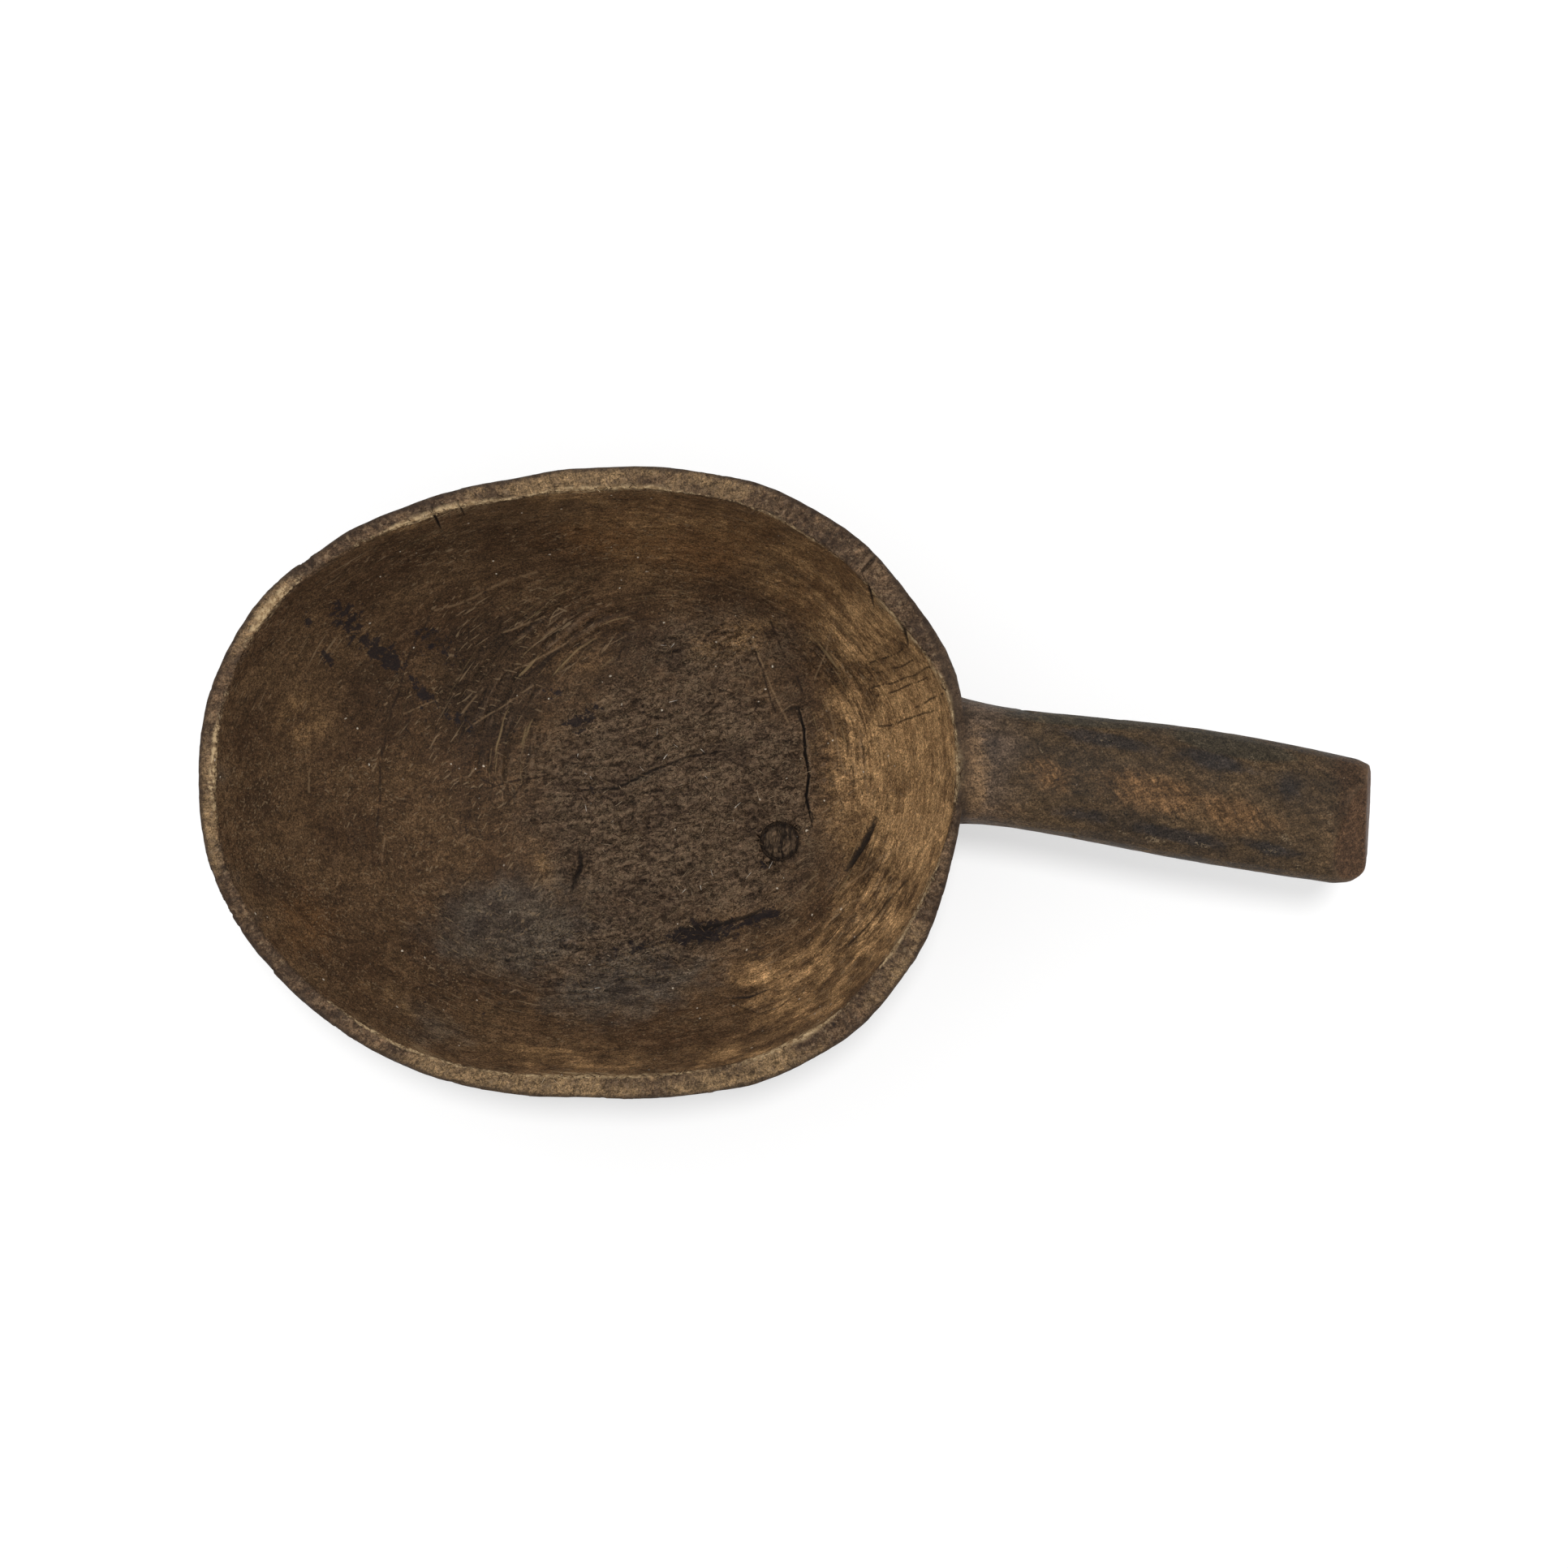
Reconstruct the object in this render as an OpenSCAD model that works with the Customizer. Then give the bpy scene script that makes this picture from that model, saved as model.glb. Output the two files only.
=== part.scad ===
// A scoop carved from one block of wood: an oval bowl with a short, thick handle.
// The block holds one dead knot, which sits in the bowl's floor inside its own ring of bark.
// Millimetres. +Z is up, +X runs from the foot's centre towards the handle, and the foot stands on z = 0.

/* [Bowl] */
// Length of the rim's outline, along X
bowl_length = 282; // [200:1:380]
// Width of the rim's outline, along Y
bowl_width = 232; // [170:1:320]
// Height of the rim above the foot
bowl_height = 96; // [70:1:130]
// Fullness of the outline's front end, where 2 is a true ellipse
front_fullness = 2.0; // [1.8:0.05:3]
// Fullness of the outline's handle end
back_fullness = 2.4; // [1.8:0.05:3]
// How far the front of the rim lies below the rest, from use
front_dip = 5; // [0:0.5:12]

/* [Rim and wall] */
// Width of the rim's top at the front
front_rim_width = 7.3; // [6:0.5:14]
// Width of the rim's top towards the handle end
back_rim_width = 11.2; // [8:0.5:18]
// Width of the rim's top where the handle joins it
root_rim_width = 3.2; // [2:0.5:12]
// Slope of the rim's top, down towards the outside
rim_pitch = 10; // [0:1:20]
// Radius of the rim's worn outer edge
edge_round = 3; // [1:0.5:5]

/* [Hollow] */
// Thickness of the wood under the hollow's flat floor
floor_thickness = 14; // [9:0.5:22]
// Length of the flat floor
floor_length = 108; // [80:1:150]
// Width of the flat floor
floor_width = 98; // [70:1:130]

/* [Foot] */
// Length of the flat foot
foot_length = 116; // [90:1:160]
// Width of the flat foot
foot_width = 94; // [70:1:130]
// How far the middle of the rim's outline lies ahead of the foot's centre
foot_setback = 34; // [15:1:40]

/* [Handle] */
// Length of the handle beyond the rim
handle_length = 156; // [100:1:220]
// Width of the handle where it is narrowest
neck_width = 43; // [34:0.5:56]
// Width of the handle at its swell
handle_width = 49.5; // [38:0.5:64]
// Width of the handle at its end
end_width = 46; // [34:0.5:60]
// Distance from the rim to the swell
swell_at = 95; // [60:1:95]
// Thickness of the handle at the rim
neck_thickness = 36; // [26:1:44]
// Thickness of the handle at its end
end_thickness = 28; // [22:1:36]
// How far the handle's top lies below the rim
handle_drop = 2; // [1:0.5:8]
// How far to the left of the bowl's long axis the handle leaves the rim
handle_offset = 8; // [0:0.5:14]
// Angle of the handle at the rim, to the right of the bowl's long axis
handle_cant = 7; // [0:0.5:15]
// Further angle that the handle bends through along its length
handle_bend = 4; // [0:0.5:8]
// Extra wood at the handle's root, on the left
root_left_flare = 2; // [2:0.5:9]
// Extra wood at the handle's root, on the right
root_right_flare = 2; // [1:0.5:9]
// Extra wood round the handle's root, underneath
root_under_flare = 12; // [4:1:16]
// Radius of the corners of the handle's end, seen from above
end_corner = 12.5; // [5:1:14]
// Lean of the sawn end, back from upright
end_lean = 12; // [0:1:30]
// Turn of the sawn end away from square, to the left
end_turn = 8; // [0:1:15]
// Length of the bevel pared off the top of the end
bevel_length = 15; // [6:1:22]
// Lean of the bevel, back from upright
bevel_lean = 52; // [40:1:65]
// Turn of the bevel away from square, to the right
bevel_turn = 11; // [0:1:20]

/* [Knot] */
// Diameter of the hole that the knot leaves in the wood
knot_d = 15.5; // [10:0.5:20]
// Bark on the thick side of its ring, away from the handle
bark_thick = 1.6; // [1:0.1:2.2]
// Bark on the thin side of its ring
bark_thin = 0.6; // [0.5:0.1:1]
// Gap left all round by the knot's shrinkage
knot_gap = 0.05; // [0.02:0.01:0.2]
// Distance of the knot from the foot's centre, towards the handle
knot_x = 39; // [20:0.5:42]
// Distance of the knot from the foot's centre, towards the left of the handle
knot_y = -22.5; // [-26:0.5:26]

/* [Hidden] */

// The blank's departures from the true oval, every 15 degrees round from the handle
lumps = [0, 2, -1, 1, 3, 2, 0, -2.5, -2, 0.5, 3, 2,
         0, 1, 0.5, 0.5, 0.5, 0, 0, 1.5, 3, 1.5, -1.5, -2.5];
lump_step = 360 / len(lumps);

steps = 90;              // points in each ring of the bowl
wall_rings = 14;         // rings down each side of the wall
wall_belly = 2.0;        // how round the wall is where it meets the floor
wall_stand = 1.25;       // how upright the wall is below the rim
ring_crowding = 1.5;     // draws the rings towards the rim, where the wall is steepest
clear_above = 60;        // height of the hollow's cutting shape above the rim
lip_land = 1;            // upright land at the lip's inner edge
handle_sides = 32;       // points in each section of the handle
handle_stations = 24;    // sections along the handle
section_fullness = 2.8;  // 2 is an oval section, more is squarer
root_spread = 20;        // degrees either way over which the rim narrows to the handle
root_inside = 30;        // length of the handle's root that lies within the bowl's blank
flare_fade = 11;        // distance over which the root's flare dies away
overcut = 1;             // how far a cutting shape runs past what it cuts
root_reach = 25;         // distance beyond the rim over which the sections crowd together
root_share = 0.4;        // share of the sections that lie there
end_tip_gap = 1;         // length that the saw takes off the rounded tip
saw_block = 90;          // size of the block that trims the handle's end
knot_fn = 64;            // facets that stand for a turn of the knot's round sides

function mix(a, b, k) = a + (b - a) * k;
function ease(k) = k * k * (3 - 2 * k);
// 0 at the front of the bowl and 1 at the handle
function backness(t) = ease(0.5 + 0.5 * cos(t));
function oval_radius(a, b, n, t) =
    pow(pow(abs(cos(t)) / a, n) + pow(abs(sin(t)) / b, n), -1 / n);
function polar(r, t) = [r * cos(t), r * sin(t)];

function lump(t) =
    let (
        turn = (t + 360) % 360 / lump_step,
        i = floor(turn),
        here = lumps[i % len(lumps)],
        next = lumps[(i + 1) % len(lumps)]
    ) mix(here, next, ease(turn - i));
function rim_radius(t) =
    oval_radius(bowl_length / 2, bowl_width / 2,
                mix(front_fullness, back_fullness, backness(t)), t) + lump(t);
// 1 in the middle of the handle's root, fading away to either side
function rootness(t) = let (turn = (t + 180) % 360 - 180) exp(-pow(turn / root_spread, 2));
function rim_width(t) =
    mix(mix(front_rim_width, back_rim_width, backness(t)), root_rim_width, rootness(t));
function rim_point(t, inset) =
    polar(rim_radius(t) - inset, t) - [foot_setback, 0];
function rim_fall(t) = front_dip * (1 - backness(t));

// Height lost, as a share of the whole, at share u of the way in from the rim
function wall_drop(u) = pow(1 - pow(1 - u, wall_belly), 1 / wall_stand);
function wall_share(k) = pow(k / wall_rings, ring_crowding);

function angles() = [for (i = [0 : steps - 1]) i * 360 / steps];
// A ring round the wall: u runs from the rim to the base, an oval at height base_z
function wall_ring(u, inset_scale, inset_more, base_l, base_w, top_z, base_z) =
    [for (t = angles())
        let (
            o = rim_point(t, inset_scale * rim_width(t) + inset_more),
            f = polar(oval_radius(base_l / 2, base_w / 2, 2, t), t),
            z = mix(top_z - rim_fall(t), base_z, wall_drop(u))
        ) [mix(o[0], f[0], u), mix(o[1], f[1], u), z]];

// Closes a stack of rings, given bottom first, into one solid with a flat lower end;
// the upper end rises to the point apex
module ring_stack(rings, apex) {
    n = len(rings[0]);
    last = (len(rings) - 1) * n;
    points = [for (r = rings) each r, apex];
    sides = [for (k = [0 : len(rings) - 2], i = [0 : n - 1])
        let (a = k * n + i, b = k * n + (i + 1) % n)
        each [[a, a + n, b], [b, a + n, b + n]]];
    top = [for (i = [0 : n - 1]) [last + i, len(points) - 1, last + (i + 1) % n]];
    polyhedron(points, concat([[for (i = [0 : n - 1]) i]], sides, top), convexity = 6);
}

// The outside of the bowl, filled to a low cone whose slope is the rim's
module bowl_blank() {
    edge_z = bowl_height - front_rim_width * tan(rim_pitch);
    wall = [for (k = [wall_rings : -1 : 0])
        wall_ring(wall_share(k), 0, 0, foot_length, foot_width, edge_z - edge_round, 0)];
    edge = [for (a = [30, 60, 90])
        wall_ring(0, 0, edge_round * (1 - cos(a)), foot_length, foot_width,
                  edge_z - edge_round * (1 - sin(a)), 0)];
    apex_z = edge_z + bowl_width / 2 * tan(rim_pitch);
    ring_stack(concat(wall, edge), [-foot_setback, 0, apex_z]);
}

// What is cut out of the bowl
module hollow() {
    lip_z = bowl_height - lip_land;
    wall = [for (k = [wall_rings : -1 : 0])
        wall_ring(wall_share(k), 1, 0, floor_length, floor_width, lip_z, floor_thickness)];
    over = [for (t = angles())
        let (o = rim_point(t, rim_width(t))) [o[0], o[1], bowl_height + clear_above]];
    ring_stack(concat(wall, [over]), [-foot_setback, 0, bowl_height + clear_above]);
}

// Sizes and place of the handle's section, s beyond the rim
function flare(s) = s > 0 ? exp(-s / flare_fade) : 1 - s / flare_fade;
function plain_width(s) =
    s < swell_at
        ? mix(neck_width, handle_width, pow(sin(90 * max(s, 0) / swell_at), 2))
        : mix(handle_width, end_width, pow((s - swell_at) / (handle_length - swell_at), 2));
function corner_loss(s) =
    let (over = max(0, s - handle_length + end_corner))
    end_corner - sqrt(max(0, pow(end_corner, 2) - pow(over, 2)));
// Half the section's width on one side, where the root flares by root_flare
function half_width(s, root_flare) = plain_width(s) / 2 + root_flare * flare(s) - corner_loss(s);
function plain_thickness(s) = mix(neck_thickness, end_thickness, max(s, 0) / handle_length);
function handle_top(s) = bowl_height - handle_drop - edge_round * max(s, 0) / handle_length;
function handle_angle(s) = -(handle_cant + handle_bend * s / handle_length / 2);
function neck_x() = rim_point(0, 0)[0];
function spine(s) = [neck_x() + s * cos(handle_angle(s)), handle_offset + s * sin(handle_angle(s))];

function section(s) =
    let (
        depth = plain_thickness(s) + root_under_flare * flare(s),
        mid_z = handle_top(s) - depth / 2,
        turn = -(handle_cant + handle_bend * s / handle_length),
        c = spine(s)
    ) [for (i = [0 : handle_sides - 1])
        let (
            a = i * 360 / handle_sides,
            half_w = half_width(s, cos(a) > 0 ? root_left_flare : root_right_flare),
            p = polar(oval_radius(half_w, depth / 2, section_fullness, a), a)
        ) [c[0] - p[0] * sin(turn), c[1] + p[0] * cos(turn), mid_z + p[1]]];

// Where a section stands along the handle, for its share of the way through the sections:
// evenly spaced at the root, then closing up towards the rounded tip
function station(share) =
    share < root_share
        ? mix(-root_inside, root_reach, share / root_share)
        : mix(root_reach, handle_length - end_tip_gap / 4,
              sin(90 * (share - root_share) / (1 - root_share)));

module handle_blank() {
    tip = spine(handle_length);
    top_z = handle_top(handle_length);
    sections = [for (k = [0 : handle_stations]) section(station(k / handle_stations))];
    difference() {
        ring_stack(sections, [tip[0], tip[1], top_z - end_thickness / 2]);
        end_cut(handle_length - end_tip_gap, top_z - end_thickness, end_turn, end_lean);
        end_cut(handle_length - bevel_length, top_z, -bevel_turn, bevel_lean);
    }
}

// Trims the handle beyond a plane through the spine at s and height z. The plane turns
// to the left, seen from above, and leans back towards the bowl.
module end_cut(s, z, turn, lean) {
    c = spine(s);
    translate([c[0], c[1], z])
        rotate([0, 0, turn - handle_cant - handle_bend])
            rotate([0, -lean, 0])
                translate([0, -saw_block / 2, -saw_block / 2])
                    cube(saw_block);
}

// Bowl and handle as they leave the carver, with the knot still part of the wood
module carving() {
    difference() {
        union() {
            bowl_blank();
            handle_blank();
        }
        hollow();
    }
}

// An upright rod through the floor at the knot; shift moves it towards the handle
module knot_rod(d, shift = 0) {
    translate([knot_x + shift, knot_y, -overcut])
        cylinder(d = d, h = bowl_height, $fn = knot_fn);
}

core_d = knot_d - bark_thick - bark_thin;
core_shift = (bark_thick - bark_thin) / 2;

module carved_body() {
    color("saddlebrown") difference() {
        carving();
        knot_rod(knot_d);
    }
}

module knot_bark() {
    color("black") intersection() {
        carving();
        difference() {
            knot_rod(knot_d - 2 * knot_gap);
            knot_rod(core_d, core_shift);
        }
    }
}

module knot_core() {
    color("sienna") intersection() {
        carving();
        knot_rod(core_d - 2 * knot_gap, core_shift);
    }
}

carved_body();
knot_bark();
knot_core();
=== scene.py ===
"""A feed scoop, carved by hand from one block of wood, with a dead knot in its floor.

Metres, +Z up, +X from the foot's centre towards the handle. Places given in millimetres are called _mm.
"""

import math

import bmesh
import bpy
import numpy as np
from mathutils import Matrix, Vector
from mathutils.bvhtree import BVHTree


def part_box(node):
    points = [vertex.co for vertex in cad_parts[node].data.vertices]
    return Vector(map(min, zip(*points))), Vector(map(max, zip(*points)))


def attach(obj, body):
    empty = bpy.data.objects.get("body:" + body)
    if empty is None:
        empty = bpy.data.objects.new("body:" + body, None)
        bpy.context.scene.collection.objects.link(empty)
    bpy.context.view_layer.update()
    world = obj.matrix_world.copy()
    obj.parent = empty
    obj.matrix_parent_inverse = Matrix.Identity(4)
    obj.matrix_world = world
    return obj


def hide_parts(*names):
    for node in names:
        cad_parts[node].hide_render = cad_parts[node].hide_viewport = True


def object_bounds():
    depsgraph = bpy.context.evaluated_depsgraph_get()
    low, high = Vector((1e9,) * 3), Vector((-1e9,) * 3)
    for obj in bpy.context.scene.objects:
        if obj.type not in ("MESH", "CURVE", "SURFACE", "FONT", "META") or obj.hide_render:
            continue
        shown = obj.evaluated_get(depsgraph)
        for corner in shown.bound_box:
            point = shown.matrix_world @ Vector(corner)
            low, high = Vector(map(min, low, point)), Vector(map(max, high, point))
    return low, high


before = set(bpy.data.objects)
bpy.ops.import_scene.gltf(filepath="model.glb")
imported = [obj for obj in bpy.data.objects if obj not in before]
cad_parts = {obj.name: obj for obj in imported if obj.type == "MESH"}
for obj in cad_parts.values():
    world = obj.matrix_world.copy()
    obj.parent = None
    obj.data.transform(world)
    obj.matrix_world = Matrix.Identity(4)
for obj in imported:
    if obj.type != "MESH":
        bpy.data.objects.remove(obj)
cad_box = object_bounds()
cad_low, cad_high = cad_box
scene = bpy.context.scene

# ----------------------------------------
# The camera, the table and the light.
# The scoop lies on a plain white table under one broad lamp, with a pale room
# round it, and is looked at from straight above.

RIM_VIEW_WIDTH = 0.5735
RIM_HEIGHT = 0.095
VIEW_MIDDLE = (0.0408, -0.0003)
LENS = 85
SENSOR = 36


def new_object(name, data):
    piece = bpy.data.objects.new(name, data)
    scene.collection.objects.link(piece)
    return piece


camera = new_object("camera", bpy.data.cameras.new("camera"))
camera.data.lens = LENS
camera.data.sensor_width = SENSOR
camera.data.clip_end = 20
camera.location = (*VIEW_MIDDLE, RIM_HEIGHT + RIM_VIEW_WIDTH * LENS / SENSOR)
scene.camera = camera
scene.view_settings.view_transform = "Standard"


class Wire:
    """One output in a node tree. Python's operators on it add Math nodes, or Vector Math on a vector."""

    def __init__(self, tree, output):
        self.tree = tree
        self.output = output

    def is_vector(self):
        return self.output.type == "VECTOR"

    def combine(self, operation, other=None, first=False):
        """Joins this with another wire or a number. first puts the other before this one."""
        other_vector = isinstance(other, tuple) or (isinstance(other, Wire) and other.is_vector())
        if operation == "MULTIPLY" and self.is_vector() != other_vector:
            terms = {0: self, 3: other} if self.is_vector() else {0: other, 3: self}
            return add_node(self.tree, "ShaderNodeVectorMath", {"operation": "SCALE"}, terms)
        if operation in ("DOT_PRODUCT", "LENGTH"):
            terms = {0: self} if other is None else {0: self, 1: other}
            return add_node(self.tree, "ShaderNodeVectorMath", {"operation": operation}, terms, "Value")
        kind = "ShaderNodeVectorMath" if self.is_vector() or other_vector else "ShaderNodeMath"
        terms = [self] if other is None else [other, self] if first else [self, other]
        return add_node(self.tree, kind, {"operation": operation}, dict(enumerate(terms)))

    def __add__(self, other):
        return self.combine("ADD", other)

    __radd__ = __add__

    def __sub__(self, other):
        return self.combine("SUBTRACT", other)

    def __rsub__(self, other):
        return self.combine("SUBTRACT", other, first=True)

    def __mul__(self, other):
        return self.combine("MULTIPLY", other)

    __rmul__ = __mul__

    def __truediv__(self, other):
        return self.combine("DIVIDE", other)

    def __rtruediv__(self, other):
        return self.combine("DIVIDE", other, first=True)

    def __pow__(self, other):
        return self.combine("POWER", other)

    def __abs__(self):
        return self.combine("ABSOLUTE")


def add_node(tree, kind, settings=None, values=None, output=0):
    """Adds a node: its settings first, then the values or links of its sockets."""
    node = tree.nodes.new(kind)
    for name, setting in (settings or {}).items():
        setattr(node, name, setting)
    for socket, value in (values or {}).items():
        if isinstance(value, Wire):
            tree.links.new(value.output, node.inputs[socket])
        else:
            node.inputs[socket].default_value = value
    return Wire(tree, node.outputs[output])


def tint(code):
    """A colour written as six hexadecimal digits, as scene-linear values."""
    parts = [int(code[i:i + 2], 16) / 255 for i in (0, 2, 4)]
    return tuple(p / 12.92 if p <= 0.04045 else ((p + 0.055) / 1.055) ** 2.4 for p in parts) + (1.0,)


def new_material(name):
    material = bpy.data.materials.new(name)
    material.use_nodes = True
    material.node_tree.nodes.clear()
    return material


def finish_material(material, surface):
    output = material.node_tree.nodes.new("ShaderNodeOutputMaterial")
    material.node_tree.links.new(surface.output, output.inputs["Surface"])
    return material


def shows_white(tree):
    """1 for a ray from the camera, by itself or by way of gloss or glass."""
    path = tree.nodes.new("ShaderNodeLightPath")
    rays = [Wire(tree, path.outputs[n]) for n in ("Is Camera Ray", "Is Glossy Ray", "Is Transmission Ray")]
    return rays[0].combine("MAXIMUM", rays[1]).combine("MAXIMUM", rays[2])


TABLE_CORNERS = [(-4, -4, 0), (4, -4, 0), (4, 4, 0), (-4, 4, 0)]
TABLE_PAINT = (0.86, 0.86, 0.86, 1)
TABLE_GLOW = 0.36
GLOW_STRENGTH = 1.36
table_mesh = bpy.data.meshes.new("table")
table_mesh.from_pydata(TABLE_CORNERS, [], [(0, 1, 2, 3)])
table = new_object("table", table_mesh)
table_white = new_material("table_white")
tree = table_white.node_tree
paint = add_node(tree, "ShaderNodeBsdfDiffuse", values={"Color": TABLE_PAINT})
glow = add_node(tree, "ShaderNodeEmission", values={"Strength": GLOW_STRENGTH})
finish_material(table_white, add_node(tree, "ShaderNodeMixShader",
                                      values={0: shows_white(tree) * TABLE_GLOW, 1: paint, 2: glow}))
table_mesh.materials.append(table_white)

ROOM_LIGHT = 0.58
world = bpy.data.worlds.new("room")
scene.world = world
world.use_nodes = True
tree = world.node_tree
tree.nodes.clear()
strength = shows_white(tree) * (1 - ROOM_LIGHT) + ROOM_LIGHT
room = add_node(tree, "ShaderNodeBackground", values={"Color": (1, 1, 1, 1), "Strength": strength})
tree.links.new(room.output, tree.nodes.new("ShaderNodeOutputWorld").inputs["Surface"])


def add_sun(name, strength, tilt, bearing, softness):
    """A distant lamp, tilt degrees from straight above, towards bearing degrees from +X."""
    lamp = new_object(name, bpy.data.lights.new(name, "SUN"))
    lamp.data.energy = strength
    lamp.data.angle = math.radians(softness)
    tilt, bearing = math.radians(tilt), math.radians(bearing)
    side = math.sin(tilt)
    towards = Vector((side * math.cos(bearing), side * math.sin(bearing), math.cos(tilt)))
    lamp.rotation_euler = towards.to_track_quat("Z", "Y").to_euler()


add_sun("overhead_lamp", 1.5, tilt=8, bearing=80, softness=9)
add_sun("window", 0.2, tilt=50, bearing=130, softness=40)

# ----------------------------------------
# The carved scoop.
# Bowl and handle are one piece of dense hardwood, hewn outside with a knife or
# adze, hollowed with a gouge, then worn, stained and dried out by long use.

MM = 0.001
GRID = 0.8 * MM
MOST_TRIANGLES = 190000
BOWL_MIDDLE = Vector((-0.034, 0.0))


def copy_node(node, name):
    """A piece with a merged copy of a CAD node's mesh."""
    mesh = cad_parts[node].data.copy()
    mesh.name = name
    mesh.materials.clear()
    piece = new_object(name, mesh)
    shape = bmesh.new()
    shape.from_mesh(mesh)
    bmesh.ops.remove_doubles(shape, verts=shape.verts, dist=1e-6)
    shape.to_mesh(mesh)
    shape.free()
    return piece


def bake_modifiers(piece):
    """Turns the piece with its modifiers into a plain mesh."""
    graph = bpy.context.evaluated_depsgraph_get()
    mesh = bpy.data.meshes.new_from_object(piece.evaluated_get(graph))
    old = piece.data
    piece.modifiers.clear()
    piece.data = mesh
    bpy.data.meshes.remove(old)
    return mesh


def remesh(piece, voxel, smoothing):
    """Rebuilds the piece's skin on an even grid, and eases its facets."""
    grid = piece.modifiers.new("grid", "REMESH")
    grid.mode = "VOXEL"
    grid.voxel_size = voxel
    ease = piece.modifiers.new("ease", "SMOOTH")
    ease.factor = 0.5
    ease.iterations = smoothing
    return bake_modifiers(piece)


def points_of(mesh):
    """The mesh's points and their normals, as two arrays."""
    points = np.empty(len(mesh.vertices) * 3, np.float32)
    mesh.vertices.foreach_get("co", points)
    normals = np.empty(len(mesh.vertices) * 3, np.float32)
    mesh.vertex_normals.foreach_get("vector", normals)
    return points.reshape(-1, 3).astype(float), normals.reshape(-1, 3).astype(float)


def put_points(piece, points):
    piece.data.vertices.foreach_set("co", points.astype(np.float32).ravel())
    piece.data.update()


def store(mesh, name, values):
    """Keeps one number for each point, for the node trees to read."""
    layer = mesh.attributes.get(name) or mesh.attributes.new(name, "FLOAT", "POINT")
    layer.data.foreach_set("value", np.asarray(values, np.float32))


def ease_between(low, high, x):
    k = np.clip((x - low) / (high - low), 0, 1)
    return k * k * (3 - 2 * k)


scoop = copy_node("carved_body", "carved_scoop")

# The lip is measured on the plain shape: its inner radius, outer radius and height all round.
HIGH_ON_WALL = 0.086
BELOW_LIP = 0.0015
BELOW_EDGE = 0.004
skin = BVHTree.FromObject(scoop, bpy.context.evaluated_depsgraph_get())
turns = np.radians(np.arange(-180, 181, 2))
inner, outer, crest = [], [], []
for turn in turns:
    ray = Vector((math.cos(turn), math.sin(turn), 0))
    centre = BOWL_MIDDLE.to_3d()
    wall = skin.ray_cast(centre + Vector((0, 0, HIGH_ON_WALL)), ray)[3]
    top = skin.ray_cast(centre + ray * (wall + 0.005) + Vector((0, 0, 0.2)), Vector((0, 0, -1)))[0].z
    inner.append(skin.ray_cast(centre + Vector((0, 0, top - BELOW_LIP)), ray)[3])
    outer.append(0.4 - skin.ray_cast(centre + ray * 0.4 + Vector((0, 0, top - BELOW_EDGE)), -ray)[3])
    crest.append(top)
HANDLE_SPREAD = math.radians(24)
clear = np.abs(turns) > HANDLE_SPREAD
outer = np.interp(turns, turns[clear], np.array(outer)[clear])

remesh(scoop, GRID, 8)


def refine(piece, near):
    """Splits each face whose points are all near something that needs a finer mesh."""
    shape = bmesh.new()
    shape.from_mesh(piece.data)
    chosen = [e for e in shape.edges if near[e.verts[0].index] or near[e.verts[1].index]]
    bmesh.ops.subdivide_edges(shape, edges=chosen, cuts=1, use_grid_fill=True)
    shape.to_mesh(piece.data)
    shape.free()


def zones(points, normals):
    """For each point: hollow, rim or handle, and its distances from the lip and the outer edge."""
    away = points[:, :2] - np.array(BOWL_MIDDLE)
    reach = np.hypot(away[:, 0], away[:, 1])
    turn = np.arctan2(away[:, 1], away[:, 0])
    lip_reach = np.interp(turn, turns, inner)
    edge_reach = np.interp(turn, turns, outer)
    lip_height = np.interp(turn, turns, crest)
    outward = away / np.maximum(reach, 1e-6)[:, None]
    facing = normals[:, 2] - (normals[:, :2] * outward).sum(1)
    hollow = ease_between(0.5 * MM, -0.5 * MM, reach - lip_reach) * (facing > 0) * (points[:, 2] > 4 * MM)
    grip = ease_between(-2 * MM, 6 * MM, reach - edge_reach) * (np.abs(turn) < 2 * HANDLE_SPREAD)
    rim = ease_between(0.15, 0.45, normals[:, 2]) * ease_between(7 * MM, 4 * MM, lip_height - points[:, 2])
    rim = rim * (1 - hollow) * (1 - grip)
    lip = np.hypot(reach - lip_reach, points[:, 2] - lip_height) * np.where(reach > lip_reach, 1, -1)
    return hollow, rim, grip, lip, edge_reach - reach


CRACK_MM = [(46, 30), (48.5, 21), (49, 12), (50.5, 4), (49.5, -5), (51.5, -16)]
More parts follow.
